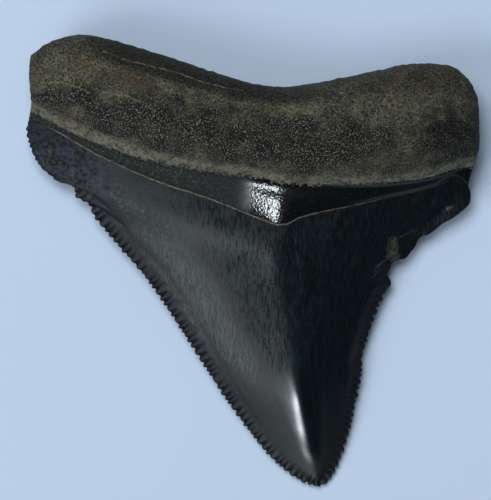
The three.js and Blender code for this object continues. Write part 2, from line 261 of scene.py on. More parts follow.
def bend(points):
    """Centripetal Catmull-Rom curve: between two points a cubic whose end slopes come from the
    neighbours, weighted by the square root of the distances. Read by share of its length."""
    p = np.array(points, float)
    p = np.vstack([2 * p[0] - p[1], p, 2 * p[-1] - p[-2]])
    gaps = np.sqrt(np.linalg.norm(np.diff(p, axis=0), axis=1))
    span = np.repeat(np.arange(len(points) - 1), CURVE_STEPS)
    s = np.tile(np.arange(CURVE_STEPS) / CURVE_STEPS, len(points) - 1)[:, None]
    d0, d1, d2 = (gaps[span + k][:, None] for k in range(3))
    p0, p1, p2, p3 = (p[span + k] for k in range(4))
    leave = ((p1 - p0) / d0 - (p2 - p0) / (d0 + d1) + (p2 - p1) / d1) * d1
    arrive = ((p2 - p1) / d1 - (p3 - p1) / (d1 + d2) + (p3 - p2) / d2) * d1
    rise = p2 - p1
    xy = p1 + s * (leave + s * (3 * rise - 2 * leave - arrive + s * (leave + arrive - 2 * rise)))
    xy = np.vstack([xy, p[-2]])
    length = np.concatenate([[0.0], np.cumsum(np.linalg.norm(np.diff(xy, axis=0), axis=1))])
    return xy, length


def read(curve, share):
    """Points of a curve at shares of its length."""
    xy, length = curve
    return np.stack([np.interp(share * length[-1], length, xy[:, k]) for k in range(2)], axis=-1)


def along(pairs, level):
    """Value at a level: a cubic through the pairs, with each slope taken from the neighbours."""
    x, y = np.array(pairs, float).T
    ends = np.pad(np.arange(len(x)), 1, mode="edge")
    slope = (y[ends[2:]] - y[ends[:-2]]) / (x[ends[2:]] - x[ends[:-2]])
    k = np.clip(np.searchsorted(x, level, side="right") - 1, 0, len(x) - 2)
    gap = x[k + 1] - x[k]
    s = (level - x[k]) / gap
    rise, leave, arrive = y[k + 1] - y[k], gap * slope[k], gap * slope[k + 1]
    return y[k] + s * (leave + s * (3 * rise - 2 * leave - arrive + s * (leave + arrive - 2 * rise)))


def ease(value, low, high):
    """0 below low, 1 above high, and a smooth cubic between them."""
    t = np.clip((value - low) / (high - low), 0.0, 1.0)
    return t * t * (3 - 2 * t)


def hump(value, width):
    """A bell: 1 at nought, falling as the exponential of minus the square of value over width."""
    return np.exp(-((value / width) ** 2))


def ripple(x, y, size, seed, count=24):
    """Smooth random field of unit spread: a sum of sine waves about size long, with directions and
    phases drawn from the seed."""
    rng = np.random.default_rng(SEED + seed)
    turn, phase = rng.uniform(0, 2 * np.pi, (2, count))
    pull = 2 * np.pi / (size * rng.uniform(0.7, 1.5, count))
    waves = pull * (x[..., None] * np.cos(turn) + y[..., None] * np.sin(turn)) + phase
    return np.sin(waves).sum(-1) / np.sqrt(count / 2)


def spots(xy, places):
    """The largest of the bells at the given places, each as wide as its third number."""
    marks = [hump(np.hypot(xy[..., 0] - x, xy[..., 1] - y), size) for x, y, size in places]
    return np.max(marks, axis=0)


def streaks(xy, paths, width):
    """Bell of the distance to the nearest of the paths, each a chain of straight pieces."""
    nearest = np.full(xy.shape[:-1], np.inf)
    for path in paths:
        for start, end in zip(np.array(path[:-1]), np.array(path[1:])):
            run = end - start
            t = np.clip(((xy - start) @ run) / (run @ run), 0.0, 1.0)
            nearest = np.minimum(nearest, np.linalg.norm(xy - start - t[..., None] * run, axis=-1))
    return hump(nearest, width)


class Guides:
    """Guide curves of the tooth read at the rows' levels, and the profiles that depend on sizes."""

    def __init__(self, sizes):
        self.sizes = {name: getattr(sizes, name) / MM for name in FossilToothSizes.__annotations__}
        swell, crown = self.sizes["root_swell"], self.sizes["crown_base"]
        side = self.sizes["side_height"]
        self.level = np.concatenate(
            [np.linspace(a, b, n, endpoint=False) for a, b, n in ROW_STRETCHES] + [[TIP]]
        )
        self.lines = [bend(line) for line in (BASAL_LINE, CREASE_LINE, NECK_LINE, ENAMEL_LINE)]
        self.edge = [self.outline(LEFT_SIDE, LEFT_EDGE), self.outline(RIGHT_SIDE, RIGHT_EDGE)]
        self.sweep = [self.outline(LEFT_SIDE, LEFT_SWEEP), self.outline(RIGHT_SIDE, RIGHT_SWEEP)]
        self.length = [bend(edge)[1][-1] for edge in (LEFT_EDGE, RIGHT_EDGE)]
        neck, base = 0.8 * swell, crown
        self.ridge_height = along([
            (BASE, 0.82 * swell), (CREASE, 0.84 * swell), (1.4, 0.96 * swell), (1.7, swell), (NECK, neck),
            (2.5, 0.5 * (neck + base)), (ENAMEL, base), (3.25, 0.883 * base), (3.5, 0.755 * base),
            (3.6, 0.685 * base), (3.7, 0.58 * base), (3.8, 0.41 * base), (3.9, 0.225 * base),
            (TIP, 0.1 * base),
        ], self.level)
        self.side_height = along([
            (BASE, side), (CREASE, side), (NECK, 0.7 * side), (ENAMEL, 0.57 * side), (3.3, 0.42 * side),
            (TIP, 0.13 * side),
        ], self.level)
        self.full = along([
            (BASE, 3.6), (1.5, 3.6), (NECK, 2.1), (ENAMEL, 1.6), (3.2, 1.45), (3.5, 1.7), (TIP, 1.75),
        ], self.level)
        self.thin = along(
            [(BASE, 0.5), (1.5, 0.5), (NECK, 0.85), (ENAMEL, 1), (3.3, 1.05), (TIP, 1)], self.level
        )
        self.ridge = along([(BASE, 0.55), (NECK, 0.57), (TIP, 0.57)], self.level)
        self.labial = along([
            (BASE, -0.45), (CREASE, -0.45), (1.6, -0.35), (NECK, 0.1), (2.5, 0.35), (ENAMEL, 0.3),
            (3.15, 0.1), (3.35, -0.12), (3.7, -0.12), (3.88, 0.2), (TIP, 0.5),
        ], self.level)

    def outline(self, side, edge):
        """Points of one outline: along the root's side, straight across the band's end, then along
        the cutting edge."""
        side, edge = bend(side), bend(edge)
        level = self.level[:, None]
        joint = side[0][-1] + (edge[0][0] - side[0][-1]) * (level - NECK)
        root = read(side, np.clip(self.level / NECK, 0, 1))
        crown = read(edge, np.clip(self.level - ENAMEL, 0, 1))
        return np.where(level <= NECK, root, np.where(level >= ENAMEL, crown, joint))

    def bow(self, line, u, labial):
        """How far a line lies off the chord of its ends."""
        if labial and line >= NECK:
            sag = LABIAL_DIP[line - NECK] * np.sin(np.pi * u)
            return np.stack([np.zeros_like(u), -sag], axis=-1)
        points = read(self.lines[line], u)
        return points - points[0] * (1 - u[:, None]) - points[-1] * u[:, None]

    def plan(self, u, labial):
        """Places in plan: each row runs straight between the sweeps, plus a bow that blends from one
        line to the next, or shrinks on the crown as the square of the row's width, plus the
        nicks of both edges, which fade inward."""
        left, right = self.sweep
        share = u[None, :, None]
        row = left[:, None] * (1 - share) + right[:, None] * share
        bows = np.stack([self.bow(line, u, labial) for line in range(4)])
        above = np.minimum(np.floor(self.level).astype(int), 2)
        part = (self.level - above)[:, None, None]
        width = np.linalg.norm(right - left, axis=1)
        first = np.searchsorted(self.level, ENAMEL)
        shrink = (width / width[first])[:, None, None] ** 2
        blend = bows[above] * (1 - part) + bows[above + 1] * part
        crown = (self.level >= ENAMEL)[:, None, None]
        row = row + np.where(crown, bows[3] * shrink, blend)
        near = (1 - ease(share, 0, EDGE_REACH), ease(share, 1 - EDGE_REACH, 1))
        for side in range(2):
            row = row + crown * near[side] * (self.edge[side] - self.sweep[side])[:, None]
        return row


def inward_share(g, u):
    """Share of the way from the nearer outline to the ridge."""
    ridge = g.ridge[:, None]
    return np.where(u < ridge, u / ridge, (1 - u) / (1 - ridge))


def fullness(g, u):
    """Share of the full thickness: a superellipse across the row, blunt on the root and sharp on
    the crown, times the rounding of the basal outline."""
    inward = inward_share(g, u)
    across = (1 - (1 - inward) ** g.full[:, None]) ** g.thin[:, None]
    lift = np.minimum(g.level / ROUNDING_END, 1)[:, None]
    return across * np.sqrt(1 - (1 - lift) ** ROUNDING_POWER)


def seam_height(g, u):
    """Height of the seam that both faces share: the side's height, dipping between the lobes."""
    dip = SEAM_DIP * np.sin(np.pi * u) ** 2 * np.maximum(0, 1 - g.level)[:, None]
    return g.side_height[:, None] - dip


def beads(g, xy, side):
    """Serrations of one edge. Each bead is half a sine wave to the power 0.8, with its own length and
    height, and is worn away where the edge is broken. Returns the edge's outward direction, the
    distance from it, how much of a bead stands there and how much of a notch lies beside it."""
    pitch = g.sizes["bead_pitch"]
    crown = np.clip(g.level - ENAMEL, 0, 1)
    run = np.gradient(g.sweep[side], axis=0)
    run /= np.maximum(np.linalg.norm(run, axis=1, keepdims=True), 1e-9)
    outward = np.stack([run[:, 1], -run[:, 0]], axis=-1) * (1 if side == 0 else -1)
    off = xy - g.edge[side][:, None]
    distance = -(off * outward[:, None]).sum(-1)
    place = (crown * g.length[side])[:, None] + (off * run[:, None]).sum(-1)
    rng = np.random.default_rng(SEED + side)
    count = int(g.length[side] / pitch) + 2
    ends = np.concatenate([[0.0], np.cumsum(pitch * rng.uniform(*BEAD_LENGTHS, 2 * count))])
    tall = rng.uniform(*BEAD_HEIGHTS, 2 * count)
    nth = np.clip(np.searchsorted(ends, place, side="right") - 1, 0, 2 * count - 1)
    share = np.clip((place - ends[nth]) / (ends[nth + 1] - ends[nth]), 0, 1)
    bead = np.sin(np.pi * share) ** 0.8
    if side == 0:
        stands = (0.6 + 0.4 * ease(g.level, 3.12, 3.25)) * (g.level >= ENAMEL)
    else:
        stands = ease(g.level, 3.37, 3.46)
    stands = stands[:, None] * tall[nth]
    return outward, distance, stands * (bead - 0.55), stands * (1 - bead)


def off_surface(points):
    """Unit normals of a grid of points, from the cross product of its two directions."""
    down, right = np.gradient(points, axis=0), np.gradient(points, axis=1)
    normal = np.cross(down, right)
    return normal / np.maximum(np.linalg.norm(normal, axis=-1, keepdims=True), 1e-12)


def tooth_face(g, columns, labial):
    """One face of the tooth on a grid of rows and columns. Its height is the seam's plus the rest of
    the ridge's height times the fullness. Small relief is then laid on: broken faces, the
    serrations with their flutes, the root's lumps, cracks and fuzz, and faint waves of the crown.
    Returns points in guide millimetres and the marks that the material reads."""
    even = np.arange(columns + 1) / columns
    u = 0.35 * even + 0.65 * (0.5 - 0.5 * np.cos(np.pi * even))
    level = g.level[:, None] + 0 * u
    xy = g.plan(u, labial)
    seam = seam_height(g, u)
    full = fullness(g, u)
    x, y = xy[..., 0], xy[..., 1]
    on_root = 1 - ease(level, 1.7, NECK)

    sides = [beads(g, xy, side) for side in range(2)]
    rim = np.where(level >= ENAMEL, np.minimum(sides[0][1], sides[1][1]), FAR)
    rim = np.maximum(rim, 0)
    if labial:
        hollow = LABIAL_HOLLOW * (1 - ease(level, NECK, ENAMEL)) * hump(u - 0.53, 0.16)
        thick = g.labial[:, None] + hollow - seam
    else:
        fade = 1 - ease(level, NECK, ENAMEL)
        lobes = 1 - 0.2 * fade * (2 * (u - g.ridge[:, None])) ** 2
        ragged = 0.012 * ripple(x, y, 1.6, 3) + 0.008 * ripple(x, y, 0.5, 4)
        lip = g.sizes["lip"] * (1 - ease(level + ragged, 1.94, NECK))
        step = g.sizes["enamel_step"] * ease(level, 2.975, ENAMEL)
        swell = np.sin(0.62 * x + 0.5) * np.cos(0.9 * y + 0.2 * x) + 0.6 * np.sin(1.3 * x - 0.7 * y)
        thick = g.ridge_height[:, None] * lobes + lip + step + SWELL_HEIGHT * on_root * swell - seam

    z = seam + thick * full

    broken = streaks(xy, BROKEN_FACES, BROKEN_WIDTH)
    broken = broken * (1 + 0.25 * ripple(x, y, 0.8, 13))
    if not labial:
        z = z - 0.25 * (z - seam) * ease(broken, 0.25, 0.7)
        z = z - 0.03 * ease(broken, 0.3, 0.7) * ripple(x, y, 0.5, 6) * (rim > 0.1)
    scars = streaks(xy, SHOULDER_SCRATCHES, SCRATCH_WIDTH) * (0.8 + 0.3 * ripple(x, y, 0.9, 5))
    for outward, distance, stands, notch in sides:
        bulge = g.sizes["bead_depth"] * stands * hump(distance, BEAD_REACH)
        xy = xy + bulge[..., None] * outward[:, None]
        flute = FLUTE_DEPTH * notch * hump(distance, FLUTE_REACH) * (1 - hump(distance, 0.12))
        z = z - np.sign(thick) * flute * ease(level, ENAMEL, 3.02)

    points = np.dstack([xy, z])
    clear = (1 - hump(inward_share(g, u), 0.03)) * (1 - hump(level, 0.12))
    relief = on_root * sum(height * ripple(x, y, size, seed) for height, size, seed in LUMPS)
    relief = relief - CRACK_DEPTH * streaks(xy, CRACKS, CRACK_WIDTH) * on_root
    fuzz = FUZZ_HEIGHT * on_root * ripple(x, y, 0.8, 17) * (1 - clear)
    skin = SKIN_HEIGHT * ease(level, ENAMEL, 3.05) * ripple(x, y, 5.0, 7)
    relief = relief + skin * ease(rim, 0.8, 2.0)
    push = -off_surface(points) if labial else off_surface(points)
    points = points + (relief * clear + fuzz)[..., None] * push * (0.3 if labial else 1.0)
    if labial:
        points[..., 2] = np.maximum(points[..., 2], 0.0)

    marks = tooth_marks(g, points, u, labial)
    marks["broken"] = ease(broken, 0.25, 0.5) * (0.0 if labial else 1.0)
    marks["scars"] = ease(scars, 0.25, 0.8)
    marks.update(edge_marks(level, x, y, sides))
    return points, marks


def edge_marks(level, x, y, sides):
    """The notches with the flutes behind them, the ground strip along both serrated edges, and the
    worn left shoulder."""
    notches = sum(notch * hump(distance, 1.1) for _, distance, _, notch in sides)
    ground = [ease(level, 3.08, 3.16), ease(level, 3.3, 3.36)]
    reach = [side[1] + 0.15 * ripple(x, y, 1.5, 16) for side in sides]
    bevel = sum(share * (1 - ease(far, 1.1, 1.5)) for share, far in zip(ground, reach))
    worn = (1 - ease(level, 3.1, 3.22)) * (1 - ease(x + 0.9 * ripple(x, y, 1.6, 15), -20.0, -15.0))
    return {"notch": np.clip(notches, 0, 1), "bevel": bevel, "worn": worn * ease(level, 2.98, ENAMEL)}


def tooth_marks(g, points, u, labial):
    """Where the colours lie: distances in millimetres from the neck and enamel lines along each
    column, and shares of the stains at their places."""
    steps = np.linalg.norm(np.diff(points, axis=0), axis=-1)
    run = np.vstack([np.zeros(points.shape[1]), np.cumsum(steps, axis=0)])
    level = g.level[:, None] + 0 * u
    xy = points[..., :2]
    x, y = xy[..., 0], xy[..., 1]
    cloud = 0.07 * ripple(x, y, 6.0, 8) + 0.04 * ripple(x, y, 2.0, 9)
    upper = 1.08 + 0.28 * ease(-x, 8, 20) + 0.12 * ease(x, 9, 15)
    soot = ease(level + cloud, upper, upper + 0.2) * (1 - ease(level + cloud, 1.76, 1.92))
    soot = soot * (0.9 + 0.15 * ripple(x, y, 3.0, 10)) * (1 - 0.8 * hump(x - 17.0, 2.0))
    lobe = spots(xy, [DARK_LOBE]) * (0.9 + 0.3 * ripple(x, y, 1.5, 12))
    top = 0.0 if labial else 1.0
    return {
        "level": level,
        "across": 0 * level + u,
        "from_neck": run - run[np.searchsorted(g.level, NECK)],
        "from_enamel": run - run[np.searchsorted(g.level, ENAMEL)],
        "soot": np.clip(soot, 0, 1),
        "dark_lobe": np.clip(lobe, 0, 1) * top,
        "rust": spots(xy, RUST_SPOTS) * top,
        "cream": spots(xy, CREAM_SPECKS) * top,
        "teal": spots(xy, TEAL_SPOTS) * top,
        "lingual": 0 * level + top,
    }


def grid_faces(first, rows, columns, flip):
    """Two triangles for each cell of a grid of vertex numbers that starts at first."""
    at = first + np.arange((rows + 1) * (columns + 1)).reshape(rows + 1, columns + 1)
    a, b, c, d = at[:-1, :-1], at[1:, :-1], at[1:, 1:], at[:-1, 1:]
    faces = np.concatenate([np.stack(corners, -1).reshape(-1, 3) for corners in ((a, b, c), (a, c, d))])
    return faces[:, ::-1] if flip else faces


def closed_tooth(g):
    """Both faces as one closed mesh. Each side's labial points and lingual points are one where they
    lie on the outline, and the labial face takes every second point of the basal outline."""
    top, top_marks = tooth_face(g, LINGUAL_COLUMNS, False)
    under, under_marks = tooth_face(g, LABIAL_COLUMNS, True)
    ratio = LINGUAL_COLUMNS // LABIAL_COLUMNS
    under[0] = top[0, ::ratio]
    under[:, 0], under[:, -1] = top[:, 0], top[:, -1]
    top[-1], under[-1] = top[-1, 0], top[-1, 0]
    rows = len(g.level) - 1
    points = np.concatenate([top.reshape(-1, 3), under.reshape(-1, 3)])
    marks = {name: np.append(values, under_marks[name]) for name, values in top_marks.items()}
    first = top.shape[0] * top.shape[1]
    faces = [grid_faces(0, rows, LINGUAL_COLUMNS, False)]
    lower = grid_faces(first, rows, LABIAL_COLUMNS, True)
    basal = (lower < first + LABIAL_COLUMNS + 1).any(axis=1)
    faces.append(lower[~basal])
    i = np.arange(LABIAL_COLUMNS)
    a, b, c = ratio * i, ratio * i + 1, ratio * i + 2
    d, e = first + LABIAL_COLUMNS + 1 + i, first + LABIAL_COLUMNS + 2 + i
    faces += [np.stack(corners, -1) for corners in ((a, b, d), (b, e, d), (b, c, e))]
    faces = np.concatenate(faces)

    joined = np.arange(len(points))
    labial = first + np.arange((rows + 1) * (LABIAL_COLUMNS + 1)).reshape(rows + 1, -1)
    lingual = np.arange(first).reshape(rows + 1, -1)
    joined[labial[0]] = lingual[0, ::ratio]
    joined[labial[:, 0]], joined[labial[:, -1]] = lingual[:, 0], lingual[:, -1]
    joined[lingual[-1]] = joined[labial[-1]] = lingual[-1, 0]
    faces = joined[faces]
    whole = (faces[:, 0] != faces[:, 1]) & (faces[:, 1] != faces[:, 2]) & (faces[:, 2] != faces[:, 0])
    faces = faces[whole]
    # Where both faces of the tooth end in the same triangle, at a basal corner, neither is kept.
    _, kind, times = np.unique(np.sort(faces, axis=1), axis=0, return_inverse=True, return_counts=True)
    used, faces = np.unique(faces[times[kind] == 1], return_inverse=True)
    return points[used], faces.reshape(-1, 3), {name: values[used] for name, values in marks.items()}


def set_on_table(points):
    """Moves the points so that their box is centred over the frame's and touches the table."""
    low, high = points.min(axis=0), points.max(axis=0)
    middle = (low + high) / 2
    place = np.array([(LOW[0] + HIGH[0]) / 2, (LOW[1] + HIGH[1]) / 2, LOW[2]])
    return (points - (middle[0], middle[1], low[2])) * MM + place, middle


def new_mesh(name, points, faces, marks):
    """A mesh of triangles, smooth, with one float attribute on its points for each mark."""
    mesh = bpy.data.meshes.new(name)
    mesh.vertices.add(len(points))
    mesh.vertices.foreach_set("co", points.astype(np.float32).ravel())
    mesh.loops.add(faces.size)
    mesh.loops.foreach_set("vertex_index", faces.astype(np.int32).ravel())
    mesh.polygons.add(len(faces))
    mesh.polygons.foreach_set("loop_start", np.arange(0, faces.size, 3, dtype=np.int32))
    mesh.update(calc_edges=True)
    for mark, values in marks.items():
        layer = mesh.attributes.new(mark, "FLOAT", "POINT")
        layer.data.foreach_set("value", values.astype(np.float32))
    mesh.shade_smooth()
    mesh.validate()
    return mesh


class Shading:
    """A material's nodes, put together by small calls that return sockets."""

    def __init__(self, name):
        self.material = bpy.data.materials.new(name)
        self.material.use_nodes = True
        self.tree = self.material.node_tree
        self.shader = self.tree.nodes["Principled BSDF"]

    def node(self, kind, inputs, **settings):
        """A new node with its settings, and inputs that are values or other nodes' sockets."""
        made = self.tree.nodes.new(kind)
        for name, value in settings.items():
            setattr(made, name, value)
        for key, value in inputs.items():
            if isinstance(value, bpy.types.NodeSocket):
                self.tree.links.new(value, made.inputs[key])
            else:
                made.inputs[key].default_value = value
        return made

    def mark(self, name):
        """One of the mesh's own marks."""
        return self.node("ShaderNodeAttribute", {}, attribute_name=name).outputs["Fac"]

    def vector(self, operation, inputs, output="Vector"):
        """One sum of vectors."""
        return self.node("ShaderNodeVectorMath", inputs, operation=operation).outputs[output]

    def place(self):
        """Object coordinates in millimetres."""
        where = self.node("ShaderNodeTexCoord", {}).outputs["Object"]
        return self.vector("SCALE", {0: where, "Scale": 1 / MM})

    def noise(self, where, per_mm, detail=2.0, roughness=0.5):
        """Soft noise, so many waves to the millimetre."""
        inputs = {"Vector": where, "Scale": per_mm, "Detail": detail, "Roughness": roughness}
        return self.node("ShaderNodeTexNoise", inputs).outputs["Fac"]

    def math(self, operation, a, b=0.0, clamp=False):
        """One sum of two values."""
        made = self.node("ShaderNodeMath", {0: a, 1: b}, operation=operation)
        made.use_clamp = clamp
        return made.outputs[0]

    def times(self, *values):
        """The product of several values."""
        total = values[0]
        for value in values[1:]:
            total = self.math("MULTIPLY", total, value)
        return total

    def fade(self, value, low, high, start=0.0, end=1.0):
        """start below low, end above high, and a smooth step between them."""
        inputs = {"Value": value, "From Min": low, "From Max": high, "To Min": start, "To Max": end}
        return self.node("ShaderNodeMapRange", inputs, interpolation_type="SMOOTHSTEP").outputs[0]

    def between(self, value, rise, fall):
        """1 between two stretches: over the first it rises from 0, over the second it falls back."""
        return self.times(self.fade(value, *rise), self.fade(value, *fall, 1.0, 0.0))

    def mix(self, factor, a, b):
        """Colour a where the factor is 0, colour b where it is 1."""
        ends = [end if isinstance(end, bpy.types.NodeSocket) else (*end, 1.0) for end in (a, b)]
        inputs = {0: factor, 6: ends[0], 7: ends[1]}
        return self.node("ShaderNodeMix", inputs, data_type="RGBA").outputs[2]

    def blend(self, factor, a, b):
        """Value a where the factor is 0, value b where it is 1."""
        return self.node("ShaderNodeMix", {0: factor, 2: a, 3: b}, data_type="FLOAT").outputs[0]

    def far(self, flat, paths):
        """Distance to the nearest of the paths in plan, each a chain of straight pieces."""
        nearest = FAR
        for path in paths:
            for start, end in zip(path[:-1], path[1:]):
                start, end = Vector((*start, 0)), Vector((*end, 0))
                run = end - start
                off = self.vector("SUBTRACT", {0: flat, 1: start})
                share = self.vector("DOT_PRODUCT", {0: off, 1: run / run.length_squared}, "Value")
                share = self.math("ADD", share, 0.0, True)
                foot = self.vector("SCALE", {0: run, "Scale": share})
                gap = self.vector("DISTANCE", {0: off, 1: foot}, "Value")
                nearest = self.math("MINIMUM", nearest, gap)
        return nearest

    def bump(self, height, depth, under=None):
        """Relief so many metres deep on top of the relief under it."""
        inputs = {"Height": height, "Distance": depth, "Strength": 1.0}
        if under is not None:
            inputs["Normal"] = under
        return self.node("ShaderNodeBump", inputs).outputs[0]


def shaded(colour, factor):
    """A colour made lighter or darker."""
    return tuple(min(1.0, factor * part) for part in colour)


def root_colour(s, where, marks, colours):
    """Taupe with soft clouds and fine dust. Over the middle of the swell it breaks into soot-black
    pores with olive grains between them, and along the lower border it is smooth and lighter beige,
    partly its own tone and partly painted light where the border faces the lamps. Rust, cream specks
    and cracks lie on it, and the basal side is darker, partly its own colour and partly painted shade
    where the steep side faces away from the lamps."""
    clouds = s.noise(where, 0.45, 4.0, 0.6)
    dust = s.noise(where, 4.0, 3.0, 0.85)
    taupe = s.mix(s.fade(clouds, 0.35, 0.68), shaded(colours.taupe, 0.7), shaded(colours.taupe, 1.55))
    blotch = s.fade(s.noise(where, 1.1, 4.0, 0.75), 0.44, 0.66)
    taupe = s.mix(s.times(blotch, 0.55), taupe, BLOTCH)
    taupe = s.mix(s.fade(dust, 0.40, 0.54, 0.95, 0.0), taupe, shaded(colours.taupe, 0.04))
    taupe = s.mix(s.fade(dust, 0.57, 0.68), taupe, shaded(colours.taupe, 2.1))
    pores = s.fade(s.noise(where, 6.2, 1.0, 0.6), 0.57, 0.65)
    grains = s.mix(pores, colours.soot, s.mix(s.noise(where, 0.9, 2.0), DIM_GRAIN, PALE_GRAIN))
    pocked = s.math("ADD", s.times(marks["soot"], 0.95), s.times(marks["dark_lobe"], 0.9), True)
    colour = s.mix(pocked, taupe, grains)
    lobe = s.times(marks["dark_lobe"], 0.7)
    colour = s.mix(lobe, colour, shaded(colours.soot, 1.2))
    across = marks["across"]
    reach = s.blend(s.fade(across, 0.25, 0.5), -2.2, -1.8)
    border = s.fade(s.math("SUBTRACT", marks["from_neck"], reach), 0.0, 1.1)
    border = s.times(border, s.fade(s.noise(where, 1.3, 4.0, 0.6), 0.35, 0.6, 0.15, 1.0))
    # Painted light: the lower border is lighter beige, partly its own tone and partly light painted where
    # it faces the lamps.
    beige = s.mix(s.noise(where, 2.6, 3.0), shaded(colours.beige, 1.3), shaded(colours.beige, 2.3))
    beige = s.mix(s.fade(dust, 0.42, 0.52, 0.5, 0.0), beige, shaded(colours.beige, 0.2))
    colour = s.mix(s.times(border, 0.95), colour, beige)
    rust = s.times(marks["rust"], s.fade(s.noise(where, 1.6, 4.0, 0.7), 0.38, 0.62))
    colour = s.mix(s.times(rust, 0.75), colour, colours.rust)
    cream = s.times(marks["cracks"], s.fade(s.noise(where, 1.6, 4.0, 0.7), 0.42, 0.6, 0.25, 0.9))
    colour = s.mix(cream, colour, shaded(colours.cream, 0.8))
    colour = s.mix(s.fade(marks["cream"], 0.3, 0.7), colour, colours.cream)
    # Painted shade: the basal side is darkened, partly its own darker colour and partly shade painted where
    # the steep side faces away from the lamps.
    basal = s.times(s.fade(across, 0.08, 0.22, 0.3, 0.9), s.fade(across, 0.5, 0.68, 1.0, 0.5))
    basal = s.times(basal, s.fade(marks["level"], 0.7, 1.05, 1.0, 0.0), s.math("SUBTRACT", 1.0, cream))
    dark = s.mix(s.fade(dust, 0.46, 0.62), shaded(colours.taupe, 0.04), shaded(colours.taupe, 0.35))
    return s.mix(basal, colour, dark)


def band_colour(s, where, marks, colours):
    """Navy black with fine grey grains, and greener towards the left."""
    grit = s.fade(s.noise(where, 4.2, 3.0, 0.8), 0.56, 0.66)
    left = s.fade(marks["across"], 0.3, 0.55, 1.0, 0.15)
    ground = s.mix(left, colours.band, GREEN_BAND)
    return s.mix(s.times(grit, left), ground, BAND_GRIT)


def crown_colour(s, where, marks, colours):
    """Blue-black with fine streaks from the enamel line to the tip, a teal tint in the middle, a
    bruised left shoulder, dark ground edges with painted shade in their notches, and scratches."""
    run = {0: s.times(marks["across"], 50.0), 1: s.times(marks["level"], 5.0)}
    fibres = s.noise(s.node("ShaderNodeCombineXYZ", run).outputs[0], 1.0, 3.0, 0.6)
    colour = s.mix(s.fade(fibres, 0.35, 0.7), shaded(colours.enamel, 0.6), shaded(colours.enamel, 1.7))
    clouds = s.fade(s.noise(where, 0.35, 3.0), 0.4, 0.65)
    colour = s.mix(s.times(marks["teal"], clouds, 0.6), colour, TEAL)
    bruise = s.mix(s.fade(s.noise(where, 0.6, 4.0, 0.7), 0.46, 0.62), DEEP_BRUISE, PALE_BRUISE)
    patches = s.fade(s.noise(where, 1.6, 4.0, 0.7), 0.54, 0.68, 0.0, 0.45)
    colour = s.mix(s.times(marks["worn"], 0.95), colour, s.mix(patches, bruise, GREY_BRUISE))
    # Painted shade: the notches between the serrations are darker than the beads.
    ribs = s.mix(s.fade(marks["notch"], 0.1, 0.5), BEAD_TINT, NOTCH_PAINTED_SHADE)
    colour = s.mix(s.times(marks["bevel"], 0.9), colour, ribs)
    colour = s.mix(s.times(marks["scars"], 0.6), colour, SCAR)
    hair = s.times(marks["hairlines"], s.fade(s.noise(where, 1.2, 2.0), 0.35, 0.65))
    return s.mix(s.times(hair, 0.6), colour, HAIRLINE)


def thin_lines(s, where, marks, middle):
    """Marks of the cracks and hairlines. The mesh is too coarse for them, so they are the distance
    to their paths in the guides' plan, which noise shakes a little."""
    offset = [middle[k] - (LOW[k] + HIGH[k]) / 2 / MM for k in range(2)]
    flat = s.vector("MULTIPLY_ADD", {0: where, 1: (1.0, 1.0, 0.0), 2: (*offset, 0.0)})
    shake = s.noise(where, 1.5, 3.0, 0.7)
    shake = s.node("ShaderNodeCombineXYZ", {0: shake, 1: shake}).outputs[0]
    flat = s.vector("MULTIPLY_ADD", {0: shake, 1: (0.5, -0.5, 0.0), 2: flat})
    marks["cracks"] = s.times(s.fade(s.far(flat, CRACKS), 0.03, 0.10, 1.0, 0.0), marks["lingual"])
    marks["hairlines"] = s.times(s.fade(s.far(flat, HAIRLINES), 0.01, 0.08, 1.0, 0.0), marks["lingual"])


def zones(s, where, marks):
    """Marks of the zones: root, band and crown, whose ragged border follows the neck line, the thin
    edge of the enamel, which wanders and breaks up, the band's glossy middle, and the skin of
    the crown apart from the polished ridge near the tip."""
    level, across = marks["level"], marks["across"]
    ragged = s.times(s.math("SUBTRACT", s.noise(where, 2.2, 4.0, 0.8), 0.5), 3.4)
    marks["on_band"] = s.fade(s.math("ADD", marks["from_neck"], ragged), 0.0, 0.2)
    marks["on_crown"] = s.fade(marks["from_enamel"], -0.03, 0.03)
    marks["on_root"] = s.math("SUBTRACT", 1.0, marks["on_band"], True)
    marks["band_only"] = s.times(marks["on_band"], s.math("SUBTRACT", 1.0, marks["on_crown"], True))
    wander = s.times(s.math("SUBTRACT", s.noise(where, 1.8, 4.0, 0.8), 0.44), 0.45)
    line = s.math("ABSOLUTE", s.math("ADD", marks["from_enamel"], wander))
    line = s.fade(line, 0.05, 0.17, 1.0, 0.0)
    line = s.times(line, s.fade(s.noise(where, 1.1, 4.0, 0.7), 0.35, 0.6, 0.3, 1.0))
    marks["line"] = s.times(line, s.fade(across, 0.02, 0.09), s.fade(across, 0.9, 0.97, 1.0, 0.2))
    marks["glossy"] = s.times(s.between(across, (0.47, 0.525), (0.575, 0.61)), marks["lingual"])
    ridge = s.between(level, (3.5, 3.68), (3.86, 3.93))
    ridge = s.times(ridge, s.between(across, (0.40, 0.52), (0.66, 0.76)), marks["lingual"])
    marks["skin"] = s.math("SUBTRACT", 1.0, ridge)


def tooth_colour(s, where, marks, colours):
    """Root, band and crown, with the tan edge of the enamel and the broken places over them."""
    colour = root_colour(s, where, marks, colours)
    colour = s.mix(marks["on_band"], colour, band_colour(s, where, marks, colours))
    colour = s.mix(marks["on_crown"], colour, crown_colour(s, where, marks, colours))
    colour = s.mix(marks["line"], colour, s.mix(s.fade(marks["across"], 0.5, 0.85), TAN, DARK_TAN))
    brown = s.mix(s.fade(s.noise(where, 1.8, 4.0, 0.7), 0.4, 0.65), BROKEN_DARK, BROKEN_PALE)
    return s.mix(marks["broken"], colour, brown)


